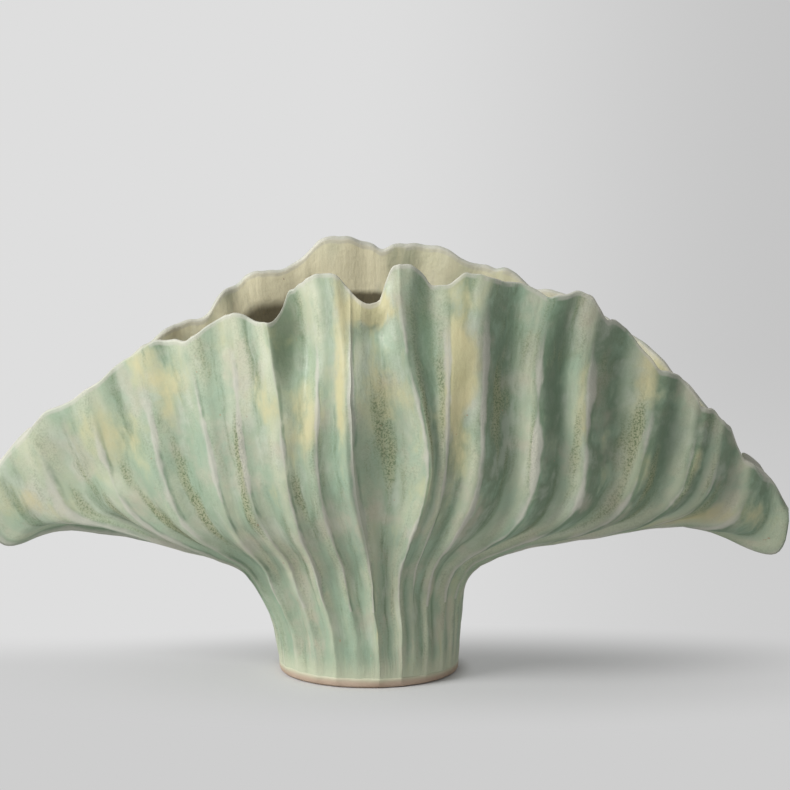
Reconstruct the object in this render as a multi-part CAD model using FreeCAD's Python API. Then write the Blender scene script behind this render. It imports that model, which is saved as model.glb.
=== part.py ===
"""A hand-built stoneware fan vase: a round fluted stem opens into a wide, pleated fan with a wavy rim.

Millimetres, +Z up, +X to the right seen from the front, and the front faces -Y.
The origin is the middle of the foot's underside, where the vase stands.
Each file in parts/ is one piece of clay as the maker joins it: the floor slab, the stem collar,
the front and back slabs of the fan, and the two keel strips that close it under and at the wing tips.
"""
import FreeCAD, Part
import math
import os
from collections import namedtuple

from FreeCAD import Vector

# ---------------- overall sizes ----------------
vase_height = 266.0          # table to the arch of the rim at the middle
reach_left = 237.0           # middle of the foot to the tip of the left wing
reach_right = 256.0          # middle of the foot to the tip of the right wing
tip_height_left = 110.0      # rim height at the left tip
tip_height_right = 106.0     # rim height at the right tip
arch_power_left = 1.45       # how the rim falls to the left tip: 1 is straight, larger stays high longer
arch_power_right = 2.35      # the same for the right tip

# ---------------- foot and stem ----------------
floor_thickness = 6.0        # the slab that the stem stands on
floor_edge = 1.2             # worn bevel round the slab's underside
floor_inset = 0.8            # the slab's outline inside the crests of the stem
foot_width = 111.0
foot_depth = 104.0
waist_width = 114.0          # a third of the way up the stem
waist_depth = 107.0
collar_width = 118.0         # just below the seam between stem and fan
collar_depth = 109.0
neck_width = 127.0           # at the seam between stem and fan
neck_depth = 114.0
neck_shift = -4.5            # the stem leans a little to the left
waist_height = 22.0
collar_height = 36.0
neck_height = 48.0

# ---------------- fan ----------------
over_neck = 12.0             # how far the stem's slope runs on above the seam
flare_height = 76.0          # where the flutes turn outward, at the middle of the fan
flare_keel = (66.0, 75.0)    # the same station under the left and right wing
shoulder_height = 104.0
shoulder_keel = (79.0, 84.0)
belly_height = 156.0
belly_keel = (92.0, 93.0)
lip_drop = 48.0              # last station below the rim
nose_drop = (47.0, 55.0)     # the same at the left and right wing tip
flare_depths = (62.0, 60.0)  # front and back, from the middle plane to the crests
shoulder_depths = (76.0, 70.0)
belly_depths = (88.0, 78.0)
lip_depths = (80.0, 68.0)
rim_depths = (64.0, 53.0)

# ---------------- clay ----------------
stem_wall = 9.0
shoulder_wall = 7.5
belly_wall = 6.5
lip_wall = 5.5
rim_wall = 4.2
flute_ratio = 0.26           # depth of a flute to its width
rim_flute_ratio = 0.28       # the same at the ruffled rim
stem_flute_ratio = 0.15      # the same round the foot
flute_lean = 0.7             # 1 puts a flute's deepest line half way; below 1 it lies nearer the left crest
flute_fullness = 1.0         # 1 hollows a flute as a parabola; below 1 it gets a flat bottom and steep sides
notch_fullness = 0.55        # the same for the flute whose rim is pulled down as a pouring notch
tip_groove = 0.35            # at the rim a flute cuts no deeper than this share of the way to the middle plane
lip_crown = 1.4              # height of the rim's crown above its two edges
tip_clay = 3.0               # the solid wing tips reach this far past the middle of their neighbours
tip_clay_slope = 0.5         # fall of the solid tips' inner face

# ---------------- facets ----------------
flute_strips = 6             # strips of facets across a flute on the outside, an even number
strips_per_inner = 2         # strips outside that lie in front of one strip inside
fan_steps = 12               # facets up a strip of the fan
stem_steps = 4               # facets up a strip of the stem
curve_degree = 3             # of the curves up the wall
sewing_gap = 0.001

outer_shares = [number / flute_strips for number in range(flute_strips + 1)]
inner_shares = outer_shares[::strips_per_inner]

os.makedirs("parts", exist_ok=True)

# A rib is a crest between two flutes.
# side: -1 front, 1 back, 0 wing tip; share: rim place as a share of the wing's reach;
# foot_angle: degrees round the foot from its middle front or back; wave: rim height above the arch, mm;
# bend, sway: how far the crest wanders to the right at the belly and below the rim, mm;
# low, high: how much the crest stands out at the stem and at the rim, 1 is in full.
Rib = namedtuple("Rib", "side share foot_angle wave bend sway low high")

front_ribs = (
    Rib(-1, -0.86, -85.0, 9.0, 10.0, 7.0, 0.4, 0.9),
    Rib(-1, -0.72, -77.0, 5.0, 9.0, 5.0, 0.7, 1.0),
    Rib(-1, -0.595, -65.0, 8.0, 8.0, 8.0, 1.0, 1.0),
    Rib(-1, -0.46, -50.0, -6.0, 10.0, 8.0, 1.0, 1.0),
    Rib(-1, -0.36, -34.0, -8.0, 3.0, 3.0, 1.0, 0.1),
    Rib(-1, -0.25, -20.0, -23.0, 3.0, 4.0, 1.0, 1.0),
    Rib(-1, -0.165, -6.0, -7.0, 1.0, 10.0, 0.2, 0.7),
    Rib(-1, -0.05, 7.0, -23.0, -2.0, 2.0, 1.0, 1.0),
    Rib(-1, 0.08, 21.0, -8.0, 26.0, -8.0, 1.0, 1.0),
    Rib(-1, 0.185, 30.0, -18.0, 6.0, 0.0, 0.1, 0.5),
    Rib(-1, 0.285, 39.0, -11.0, 2.0, -4.0, 1.0, 1.0),
    Rib(-1, 0.445, 54.0, -6.0, 5.0, -14.0, 1.0, 1.0),
    Rib(-1, 0.545, 66.0, 3.0, 14.0, -11.0, 1.0, 1.0),
    Rib(-1, 0.69, 75.0, -12.0, 7.0, -3.0, 0.7, 1.0),
    Rib(-1, 0.785, 80.0, -10.0, 9.0, 0.0, 0.5, 1.0),
    Rib(-1, 0.84, 83.5, -3.0, 6.0, 2.0, 0.4, 0.8),
    Rib(-1, 0.91, 87.0, -20.0, 2.0, 4.0, 0.3, 0.8),
)
back_ribs = (
    Rib(1, 0.89, 86.0, -20.0, 2.0, 0.0, 0.3, 0.8),
    Rib(1, 0.79, 80.0, -11.0, 0.0, 2.0, 0.5, 1.0),
    Rib(1, 0.67, 72.0, -9.0, -2.0, -4.0, 0.8, 1.0),
    Rib(1, 0.55, 61.0, -12.0, 4.0, 0.0, 1.0, 1.0),
    Rib(1, 0.43, 48.0, -18.0, 3.0, 5.0, 1.0, 1.0),
    Rib(1, 0.30, 33.0, -15.0, 0.0, -4.0, 1.0, 1.0),
    Rib(1, 0.165, 16.0, -10.0, -7.0, -2.0, 1.0, 0.9),
    Rib(1, 0.02, -1.0, -15.0, 4.0, 0.0, 1.0, 1.0),
    Rib(1, -0.16, -19.0, -3.0, -5.0, 2.0, 1.0, 1.0),
    Rib(1, -0.32, -37.0, 1.0, 5.0, 6.0, 1.0, 1.0),
    Rib(1, -0.45, -53.0, -6.0, 0.0, -3.0, 1.0, 1.0),
    Rib(1, -0.61, -67.0, -3.0, -5.0, -2.0, 0.8, 1.0),
    Rib(1, -0.75, -78.0, -3.0, 0.0, 3.0, 0.5, 1.0),
    Rib(1, -0.87, -86.0, 9.0, 0.0, 0.0, 0.3, 0.8),
)
left_tip = Rib(0, -1.0, -90.0, 0.0, 0.0, 0.0, 0.5, 1.0)
right_tip = Rib(0, 0.99, 90.0, -9.0, 0.0, 14.0, 0.5, 0.6)

# Height of the rim above the arch in the middle of each flute, from the left tip round the front and back.
front_waves = (5.0, 11.0, 9.0, 7.0, -6.0, -5.0, -13.0, -5.0, -31.0, -7.0, -6.0, -8.0, 1.0, 0.0, 0.0, -7.0, -5.0, -4.0)
back_waves = (-3.0, -9.0, -6.0, -6.0, -11.0, -11.0, -9.0, -3.0, 3.0, 2.0, 6.0, 4.0, 1.0, 6.0, 7.0)

ring = (left_tip,) + front_ribs + (right_tip,) + back_ribs
waves = front_waves + back_waves
rib_count = len(ring)
notch_flute = front_waves.index(min(front_waves))

# Stations of the stem and of the fan, from the foot to the rim.
Station = namedtuple("Station", "spread mid_height keel_height depths pinch wall inner ratio")
stem_levels = (
    (floor_thickness, foot_width, foot_depth, 0.0),
    (waist_height, waist_width, waist_depth, 0.0),
    (collar_height, collar_width, collar_depth, neck_shift / 2),
    (neck_height, neck_width, neck_depth, neck_shift),
)
fan_stations = (
    Station(0.09, flare_height, flare_keel, flare_depths, 0.5, stem_wall, 0.0, flute_ratio),
    Station(0.42, shoulder_height, shoulder_keel, shoulder_depths, 0.7, shoulder_wall, 0.0, flute_ratio),
    Station(0.81, belly_height, belly_keel, belly_depths, 1.0, belly_wall, 0.2, flute_ratio),
    Station(0.95, None, None, lip_depths, 1.0, lip_wall, 0.7, flute_ratio),
    Station(1.0, None, None, rim_depths, 1.0, rim_wall, 1.0, rim_flute_ratio),
)
bend_shares = (0.0, 0.3, 1.0, 0.2, 0.0)
sway_shares = (0.0, 0.0, 0.0, 1.0, 0.2)
wave_shares = (0.0, 0.0, 0.0, 0.35, 1.0)
neck_level = len(stem_levels) - 1
first_fan_level = len(stem_levels) + 1
level_count = first_fan_level + len(fan_stations)
lip_level = level_count - 2


def wing(share):
    """Index of a wing in the pairs of sizes: 0 left, 1 right."""
    return 1 if share > 0 else 0


def reach(share):
    return reach_right if share > 0 else reach_left


def rim_arch(share):
    """Height of the smooth arch that the wavy rim follows."""
    tip = tip_height_right if share > 0 else tip_height_left
    power = arch_power_right if share > 0 else arch_power_left
    return tip + (vase_height - tip) * (1 - abs(share) ** power)


def stem_point(rib, level):
    height, width, depth, shift = stem_levels[level]
    angle = math.radians(rib.foot_angle)
    return Vector(shift + width / 2 * math.sin(angle), rib.side * depth / 2 * math.cos(angle), height)


def over_neck_point(rib):
    """The stem's slope carried on past the seam, so that stem and fan meet without a kink."""
    neck = stem_point(rib, neck_level)
    slope = neck - stem_point(rib, neck_level - 1)
    return neck + slope * (over_neck / slope.z)


def fan_point(rib, number):
    """Place of a rib's crest at one station of the fan."""
    station = fan_stations[number]
    neck_x = stem_point(rib, neck_level).x
    rim_x = rib.share * reach(rib.share)
    x = neck_x + station.spread * (rim_x - neck_x)
    tip_x = neck_shift + math.copysign(neck_width / 2, rib.share)
    tip_x += station.spread * (math.copysign(reach(rib.share), rib.share) - tip_x)
    plan = max(0.0, 1 - (x / tip_x) ** 2) ** station.pinch
    depth = station.depths[0] if rib.side < 0 else station.depths[1]
    if station.mid_height is None:
        height = rim_arch(rib.share) + wave_shares[number] * rib.wave
        if first_fan_level + number == lip_level:
            height -= lip_drop if rib.side else nose_drop[wing(rib.share)]
    else:
        toward_keel = math.sin(abs(rib.share) * math.pi / 2)
        height = station.mid_height + (station.keel_height[wing(rib.share)] - station.mid_height) * toward_keel
    x += bend_shares[number] * rib.bend + sway_shares[number] * rib.sway
    return Vector(x, rib.side * depth * plan, height)


def crest_column(rib):
    column = [stem_point(rib, level) for level in range(len(stem_levels))]
    column.append(over_neck_point(rib))
    column += [fan_point(rib, number) for number in range(len(fan_stations))]
    return column


envelope = [crest_column(rib) for rib in ring]


def neighbour(index, step):
    return (index + step) % rib_count


def outward(index, next_index, level):
    """Direction that points away from the vase's hollow, between two columns of the envelope."""
    before = envelope[neighbour(index, -1)] if index == next_index else envelope[index]
    after = envelope[neighbour(index, 1)] if index == next_index else envelope[next_index]
    low = max(level - 1, 0)
    high = min(level + 1, level_count - 1)
    along = after[level] - before[level]
    up = (envelope[index][high] - envelope[index][low]) + (envelope[next_index][high] - envelope[next_index][low])
    if level <= neck_level:
        up = Vector(0, 0, 1)
    normal = along.cross(up)
    return normal.normalize()


def flute_share(level):
    """Depth of a flute to its width at a level."""
    if level <= neck_level:
        return stem_flute_ratio + (flute_ratio - stem_flute_ratio) * level / neck_level
    if level < first_fan_level:
        return flute_ratio
    return fan_stations[level - first_fan_level].ratio


def strength(rib, level):
    return rib.low + (rib.high - rib.low) * level / (level_count - 1)


def wall_at(level):
    if level < first_fan_level:
        return stem_wall
    return fan_stations[level - first_fan_level].wall


def inner_share(level):
    if level < first_fan_level:
        return 0.0
    return fan_stations[level - first_fan_level].inner


def inset(index, level):
    """How far a weak crest lies inside the envelope."""
    span = (envelope[neighbour(index, 1)][level] - envelope[neighbour(index, -1)][level]).Length
    return (1 - strength(ring[index], level)) * flute_share(level) * span / 2


def crest(index, level):
    return envelope[index][level] - outward(index, index, level) * inset(index, level)


def flute_depth(index, level):
    after = neighbour(index, 1)
    width = (crest(after, level) - crest(index, level)).Length
    weak = min(strength(ring[index], level), strength(ring[after], level))
    depth = flute_share(level) * width * (1 + weak) / 2
    if level >= lip_level:
        thin = abs(crest(index, level).y + crest(after, level).y) / 2
        depth = min(depth, tip_groove * thin)
    return depth


def groove_lift(index, level):
    """Height that a flute's middle gains on its two crests, so that the rim waves as listed."""
    if level < first_fan_level:
        return 0.0
    after = neighbour(index, 1)
    middle = (ring[index].share + ring[after].share) / 2
    rise = rim_arch(middle) + waves[index] - (envelope[index][-1].z + envelope[after][-1].z) / 2
    return wave_shares[level - first_fan_level] * rise


def groove(index, level):
    """Middle of a flute on the outside."""
    after = neighbour(index, 1)
    middle = (crest(index, level) + crest(after, level)) / 2
    middle -= outward(index, after, level) * flute_depth(index, level)
    return middle + Vector(0, 0, groove_lift(index, level))


def tip_inner(index, level):
    """Inside of a keel strip: a full wall under the wing, solid clay towards the tip."""
    before = inner_crest(neighbour(index, -1), level)
    after = inner_crest(neighbour(index, 1), level)
    if level < lip_level:
        return crest(index, level) - outward(index, index, level) * wall_at(level)
    toward_tip = Vector(math.copysign(1.0, ring[index].share), 0, -tip_clay_slope)
    return (before + after) / 2 + toward_tip * tip_clay


def inner_crest(index, level):
    if ring[index].side == 0:
        return tip_inner(index, level)
    softened = (1 - inner_share(level)) * flute_depth(index, level) * strength(ring[index], level)
    return crest(index, level) - outward(index, index, level) * (wall_at(level) + softened)


def inner_groove(index, level):
    after = neighbour(index, 1)
    middle = (inner_crest(index, level) + inner_crest(after, level)) / 2
    if ring[index].side and ring[after].side:
        middle -= outward(index, after, level) * flute_depth(index, level) * inner_share(level)
    return middle + Vector(0, 0, groove_lift(index, level))


def hollow_at(index, share):
    """How much of its full depth a flute has at a share of its width; every flute leans to the left."""
    on_back = ring[index].side > 0 or ring[neighbour(index, 1)].side > 0
    fullness = notch_fullness if index == notch_flute else flute_fullness
    place = share ** (1 / flute_lean if on_back else flute_lean)
    return (1 - (2 * place - 1) ** 2) ** fullness


def across(start, lowest, end, share, hollow):
    """Point between two crests, pulled towards the flute's lowest line by its hollow."""
    return start + (end - start) * share + (lowest - (start + end) / 2) * hollow


def column(poles, steps):
    """Points in even steps up the smooth curve that the stations pull into shape."""
    spans = len(poles) - curve_degree
    knots = [float(number) for number in range(spans + 1)]
    curve = Part.BSplineCurve()
    repeats = [curve_degree + 1] + [1] * (spans - 1) + [curve_degree + 1]
    curve.buildFromPolesMultsKnots(poles, repeats, knots, False, curve_degree)
    return [curve.value(spans * step / steps) for step in range(steps + 1)]


def flute_columns(index, levels, steps, crest_at, groove_at, shares):
    """Columns of one flute, from its crest over the groove to the next crest."""
    after = neighbour(index, 1)
    rows = [(crest_at(index, level), groove_at(index, level), crest_at(after, level)) for level in levels]
    return [column([across(*row, share, hollow_at(index, share)) for row in rows], steps) for share in shares]


def facet(*corners):
    return Part.Face(Part.makePolygon(corners + corners[:1]))


def band(first, second):
    """Flat facets between two rows of points that run side by side, also where one row has more points."""
    faces = []
    a = 0
    b = 0
    while a + b < len(first) + len(second) - 2:
        behind = (a + 1) * (len(second) - 1) <= (b + 1) * (len(first) - 1)
        if b == len(second) - 1 or (a < len(first) - 1 and behind):
            faces.append(facet(first[a], second[b], first[a + 1]))
            a += 1
        else:
            faces.append(facet(first[a], second[b], second[b + 1]))
            b += 1
    return faces


def skin(columns):
    faces = []
    for first, second in zip(columns, columns[1:]):
        faces += band(first, second)
    return faces


def row_of(columns, place):
    return [points[place] for points in columns]


def crown_point(outside, inside):
    return (outside + inside) / 2 + Vector(0, 0, lip_crown)


def lip(outside, inside):
    """Rim of one flute: it rises from the outer and from the inner edge to a crown."""
    crown = [crown_point(low, high) for low, high in zip(outside[::strips_per_inner], inside)]
    return band(outside, crown) + band(crown, inside)


def seam(outer_column, inner_column):
    """Side of a slab along a rib, up to the crown of the rim."""
    outside = outer_column[-1]
    inside = inner_column[-1]
    return band(outer_column, inner_column) + [facet(outside, crown_point(outside, inside), inside)]


def solid_from(faces):
    shell = Part.makeCompound(faces)
    shell.sewShape(sewing_gap)
    solid = Part.makeSolid(shell.Shells[0])
    if solid.Volume < 0:
        solid.reverse()
    return solid


def fan_piece(first, last):
    """Solid of the fan from one rib to another, in the order of the ring."""
    levels = range(neck_level, level_count)
    faces = []
    index = first
    while index != last:
        outer = flute_columns(index, levels, fan_steps, crest, groove, outer_shares)
        inner = flute_columns(index, levels, fan_steps, inner_crest, inner_groove, inner_shares)
        faces += skin(outer) + skin(inner) + band(row_of(outer, 0), row_of(inner, 0))
        faces += lip(row_of(outer, -1), row_of(inner, -1))
        if index == first:
            faces += seam(outer[0], inner[0])
        index = neighbour(index, 1)
    faces += seam(outer[-1], inner[-1])
    return solid_from(faces)


def stem_piece():
    """Fluted collar between the floor slab and the fan."""
    levels = range(neck_level + 1)
    faces = []
    for index in range(rib_count):
        outer = flute_columns(index, levels, stem_steps, crest, groove, outer_shares)
        inner = flute_columns(index, levels, stem_steps, inner_crest, inner_groove, inner_shares)
        faces += skin(outer) + skin(inner)
        faces += band(row_of(outer, 0), row_of(inner, 0)) + band(row_of(outer, -1), row_of(inner, -1))
    return solid_from(faces)


def floor_piece():
    """Oval slab that the stem stands on, bevelled where it meets the table."""
    long_radius = foot_width / 2 - floor_inset
    short_radius = foot_depth / 2 - floor_inset
    outline = Part.Ellipse(Vector(0, 0, 0), long_radius, short_radius).toShape()
    slab = Part.Face(Part.Wire([outline])).extrude(Vector(0, 0, floor_thickness))
    lower_edges = [edge for edge in slab.Edges if edge.BoundBox.ZMax < floor_thickness / 2]
    return slab.makeChamfer(floor_edge, lower_edges)


front_middle = 1 + front_ribs.index(min(front_ribs, key=lambda rib: abs(rib.share)))
right_tip_index = len(front_ribs) + 1
back_middle = right_tip_index + 1 + back_ribs.index(min(back_ribs, key=lambda rib: abs(rib.share)))
pieces = {
    "floor_slab": floor_piece(),
    "stem_collar": stem_piece(),
    "front_left_slab": fan_piece(1, front_middle),
    "front_right_slab": fan_piece(front_middle, right_tip_index - 1),
    "right_keel": fan_piece(right_tip_index - 1, right_tip_index + 1),
    "back_right_slab": fan_piece(right_tip_index + 1, back_middle),
    "back_left_slab": fan_piece(back_middle, rib_count - 1),
    "left_keel": fan_piece(rib_count - 1, 1),
}
for name, shape in pieces.items():
    print(name, "valid", shape.isValid(), "closed", shape.isClosed(), "volume", round(shape.Volume / 1000, 1), "cm3")
    shape.exportStep("parts/" + name + ".step")
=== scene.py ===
import functools
import math
from collections import namedtuple
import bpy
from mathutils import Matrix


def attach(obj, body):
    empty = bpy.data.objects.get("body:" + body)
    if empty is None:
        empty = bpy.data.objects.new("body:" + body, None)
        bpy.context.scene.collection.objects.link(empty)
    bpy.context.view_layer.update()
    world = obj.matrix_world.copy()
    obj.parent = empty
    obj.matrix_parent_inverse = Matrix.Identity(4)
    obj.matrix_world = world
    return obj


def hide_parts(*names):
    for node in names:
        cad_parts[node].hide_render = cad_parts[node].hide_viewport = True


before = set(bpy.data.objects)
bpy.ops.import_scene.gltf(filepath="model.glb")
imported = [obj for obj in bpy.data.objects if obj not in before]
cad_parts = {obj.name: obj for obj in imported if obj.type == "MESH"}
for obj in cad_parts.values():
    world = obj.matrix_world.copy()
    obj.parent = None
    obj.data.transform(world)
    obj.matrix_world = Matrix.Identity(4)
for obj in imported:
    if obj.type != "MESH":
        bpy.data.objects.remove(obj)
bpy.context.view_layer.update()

from types import SimpleNamespace

import bmesh
import bpy
from mathutils import Vector, noise

bl_info = {
    "name": "Fan vase",
    "version": (1, 0, 0),
    "blender": (4, 5, 0),
    "location": "3D View > Sidebar > Fan vase",
    "description": "Builds a pleated stoneware fan vase with a celadon glaze, piece by piece",
    "category": "Add Mesh",
}

MM = 0.001

# ---------------------------------------------------------------- the maker's measurements, in millimetres
FLOOR_THICKNESS = 6.0
VASE_HEIGHT = 266.0
REACH = (237.0, 256.0)  # left, right
TIP_HEIGHT = (110.0, 106.0)
ARCH_POWER = (1.45, 2.35)
NECK_SHIFT = -4.5
NECK_WIDTH = 127.0
OVER_NECK = 12.0
LIP_DROP = 48.0
NOSE_DROP = (47.0, 55.0)
STEM_WALL = 9.0
STEM_RATIO = 0.15
FLUTE_RATIO = 0.26
RIM_RATIO = 0.28
TIP_GROOVE = 0.35
NOTCH_FLUTE = 8

# A rib is a crest between two flutes. side: -1 front, 1 back, 0 wing tip; share: rim place as a share of the
# reach; angle: degrees round the foot; wave: rim height above the arch; bend, sway: how far the crest wanders at
# the belly and below the rim; low, high: how much it stands out at the stem and at the rim.
Rib = namedtuple("Rib", "side share angle wave bend sway low high")
FRONT_RIBS = [Rib(-1, *row) for row in (
    (-0.86, -85, 9, 10, 7, 0.4, 0.9),
    (-0.72, -77, 5, 9, 5, 0.7, 1),
    (-0.595, -65, 8, 8, 8, 1, 1),
    (-0.46, -50, -6, 10, 8, 1, 1),
    (-0.36, -34, -8, 3, 3, 1, 0.1),
    (-0.25, -20, -23, 3, 4, 1, 1),
    (-0.165, -6, -7, 1, 10, 0.2, 0.7),
    (-0.05, 7, -23, -2, 2, 1, 1),
    (0.08, 21, -8, 26, -8, 1, 1),
    (0.185, 30, -18, 6, 0, 0.1, 0.5),
    (0.285, 39, -11, 2, -4, 1, 1),
    (0.445, 54, -6, 5, -14, 1, 1),
    (0.545, 66, 3, 14, -11, 1, 1),
    (0.69, 75, -12, 7, -3, 0.7, 1),
    (0.785, 80, -10, 9, 0, 0.5, 1),
    (0.84, 83.5, -3, 6, 2, 0.4, 0.8),
    (0.91, 87, -20, 2, 4, 0.3, 0.8),
)]
BACK_RIBS = [Rib(1, *row) for row in (
    (0.89, 86, -20, 2, 0, 0.3, 0.8),
    (0.79, 80, -11, 0, 2, 0.5, 1),
    (0.67, 72, -9, -2, -4, 0.8, 1),
    (0.55, 61, -12, 4, 0, 1, 1),
    (0.43, 48, -18, 3, 5, 1, 1),
    (0.3, 33, -15, 0, -4, 1, 1),
    (0.165, 16, -10, -7, -2, 1, 0.9),
    (0.02, -1, -15, 4, 0, 1, 1),
    (-0.16, -19, -3, -5, 2, 1, 1),
    (-0.32, -37, 1, 5, 6, 1, 1),
    (-0.45, -53, -6, 0, -3, 1, 1),
    (-0.61, -67, -3, -5, -2, 0.8, 1),
    (-0.75, -78, -3, 0, 3, 0.5, 1),
    (-0.87, -86, 9, 0, 0, 0.3, 0.8),
)]
LEFT_TIP = Rib(0, -1, -90, 0, 0, 0, 0.5, 1)
RIGHT_TIP = Rib(0, 0.99, 90, -9, 0, 14, 0.5, 0.6)
RING = [LEFT_TIP, *FRONT_RIBS, RIGHT_TIP, *BACK_RIBS]
# Height of the rim above its arch at the lowest line of each flute.
WAVES = (
    5, 11, 9, 7, -6, -5, -13, -5, -31, -7, -6, -8, 1, 0, 0, -7, -5, -4,
    -3, -9, -6, -6, -11, -11, -9, -3, 3, 2, 6, 4, 1, 6, 7,
)
RIBS = len(RING)
MIDDLE_FRONT = 8
MIDDLE_BACK = 26
TIP_RIGHT = 18

STEM = ((FLOOR_THICKNESS, 111.0, 104.0, 0.0), (22.0, 114.0, 107.0, 0.0),
        (36.0, 118.0, 109.0, NECK_SHIFT / 2), (48.0, NECK_WIDTH, 114.0, NECK_SHIFT))
# Of the fan: how far it has spread to the rim, its height in the middle and at the two keels, its depth to the front
# and to the back, how its plan closes at the ends, its wall, how much of the flutes shows inside, their depth.
Station = namedtuple("Station", "spread middle keel depths pinch wall inner ratio")
FAN = (
    Station(0.09, 76.0, (66.0, 75.0), (62.0, 60.0), 0.5, STEM_WALL, 0.0, FLUTE_RATIO),
    Station(0.42, 104.0, (79.0, 84.0), (76.0, 70.0), 0.7, 7.5, 0.0, FLUTE_RATIO),
    Station(0.81, 156.0, (92.0, 93.0), (88.0, 78.0), 1.0, 6.5, 0.2, FLUTE_RATIO),
    Station(0.95, None, None, (80.0, 68.0), 1.0, 5.5, 0.7, FLUTE_RATIO),
    Station(1.0, None, None, (64.0, 53.0), 1.0, 4.2, 1.0, RIM_RATIO),
)
# Shares of bend, sway and wave at each of these.
BEND_SHARES = (0.0, 0.3, 1.0, 0.2, 0.0)
SWAY_SHARES = (0.0, 0.0, 0.0, 1.0, 0.2)
WAVE_SHARES = (0.0, 0.0, 0.0, 0.35, 1.0)
# At each level: how soft the crests are, how far a flute leans, how deep it is, and over how many flutes the
# wall is evened out.
ROUNDER = (5.0, 4.5, 4.0, 3.2, 2.4, 1.5, 1.1, 2.0, 3.2, 4.0)
LEANING = (0.0, 0.1, 0.2, 0.4, 0.7, 1.0, 1.0, 0.9, 0.5, 0.2)
FULLNESS = (0.3, 0.65, 1.0, 1.0, 1.0, 1.0, 1.0, 1.0, 1.0, 1.0)
EVENED = (0.0, 0.0, 0.0, 0.0, 0.0, 0.0, 0.05, 0.12, 0.2, 0.28)
TURNED_FROM = 11  # from this front flute on the flutes lean to the right
TURNED_FLUTES = {9: 0.6}  # and this one does so in part
NECK = len(STEM) - 1
LEVELS = len(STEM) + 1 + len(FAN)
NEAR_RIM = LEVELS - 2  # the first of the two levels at the rim
FAN_LEVELS = range(NECK, LEVELS)
FLOW_LEVEL = NECK + 3  # the level whose outline gives each streak of glaze its place
TIP_FOLD = (3.0, -1.5)  # the fold inside a tip, beyond and below the middle of its neighbours
LIP_STEPS = 8  # faces over the lip
# Rows of the floor slab: share of the foot's outline, height.
SLAB_ROWS = ((0.5, FLOOR_THICKNESS), (1.0, FLOOR_THICKNESS), (1.0, 4.5), (0.999, 3.0), (0.996, 1.7), (0.988, 0.9),
             (0.97, 0.35), (0.945, 0.0), (0.5, 0.0))
# Unevenness of the clay: how many to a millimetre, where the pattern starts, and how many millimetres it moves.
UNEVEN = ((0.021, (3.1, 7.7, 1.9), 1.3), (0.066, (8.3, 0.4, 5.6), 0.8), (0.22, (0.0, 0.0, 0.0), 0.2))
CLAY_SEED = 1795549228  # picks the pattern, which would change from run to run without it
EVEN_FOOT = 12.0  # it grows from none at the table to all of it at this height
HIDDEN = 200.0  # counts as this far below the rim inside the stem

# ---------------------------------------------------------------- the stage, in metres
AIM = (0.016, 0.0, 0.13)
SENSOR_WIDTH = 36.0  # in millimetres
PICTURE_WIDTH, FOCAL_LENGTH, PICTURE_SHIFT = 790.0, 3125.0, 65.0  # in the picture's own points
KEY_PLACE, FILL_PLACE = (-1.95, -1.2, 1.9), (1.8, -1.2, 0.9)
LAMP_SIZE = 1.2
LAMP_AIM = (0.0, 0.0, 0.13)
PAPER_RADIUS = 30.0
SHADOW_CENTRE = (0.05, -0.015, 0.0)  # middle of the shadow on the floor
SHADOW_SHAPE = (0.6, 1.5, 1.0)  # below 1 the shadow reaches further that way
SHADOW_REACH = (0.05, 0.2)  # from here to there it fades
UNDER_FOOT = (0.05, 0.066)  # round the foot the paper is only paper
BACKDROP_REACH = 1.87  # from the middle of the vase forward to where the backdrop's shades meet
SIDE_TURN = (-0.02, 0.14)  # across the view, from the left shade to the right one
FAR_TURN = (1.4, 0.15)  # from the right shade far behind to the floor's grey
NEAR_TURN = (0.09, 0.0)  # from the backdrop's shades to the floor's grey in front


# ---------------------------------------------------------------- where the crests and grooves run
def wing(share):
    """Index of a wing in the pairs of sizes: 0 left, 1 right."""
    return 1 if share > 0 else 0


def rim_arch(share):
    side = wing(share)
    return TIP_HEIGHT[side] + (VASE_HEIGHT - TIP_HEIGHT[side]) * (1 - abs(share) ** ARCH_POWER[side])


def stem_point(rib, level):
    height, width, depth, shift = STEM[level]
    angle = math.radians(rib.angle)
    return Vector((shift + width / 2 * math.sin(angle), rib.side * depth / 2 * math.cos(angle), height))


def over_neck_point(rib):
    neck = stem_point(rib, NECK)
    slope = neck - stem_point(rib, NECK - 1)
    return neck + slope * (OVER_NECK / slope.z)


def fan_point(rib, number):
    station = FAN[number]
    reach = REACH[wing(rib.share)]
    neck_x = stem_point(rib, NECK).x
    x = neck_x + station.spread * (rib.share * reach - neck_x)
    tip_x = NECK_SHIFT + math.copysign(NECK_WIDTH / 2, rib.share)
    tip_x += station.spread * (math.copysign(reach, rib.share) - tip_x)
    plan = max(0.0, 1 - (x / tip_x) ** 2) ** station.pinch
    depth = station.depths[0] if rib.side < 0 else station.depths[1]
    if station.middle is None:
        height = rim_arch(rib.share) + WAVE_SHARES[number] * rib.wave
        if number == len(FAN) - 2:
            height -= LIP_DROP if rib.side else NOSE_DROP[wing(rib.share)]
    else:
        toward_keel = math.sin(abs(rib.share) * math.pi / 2)
        height = station.middle + (station.keel[wing(rib.share)] - station.middle) * toward_keel
    x += BEND_SHARES[number] * rib.bend + SWAY_SHARES[number] * rib.sway
    return Vector((x, rib.side * depth * plan, height))


ENVELOPE = [
    [stem_point(rib, level) for level in range(len(STEM))] + [over_neck_point(rib)]
    + [fan_point(rib, number) for number in range(len(FAN))] for rib in RING
]


def on_back(index):
    return RING[index].side > 0 or RING[(index + 1) % RIBS].side > 0


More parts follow.
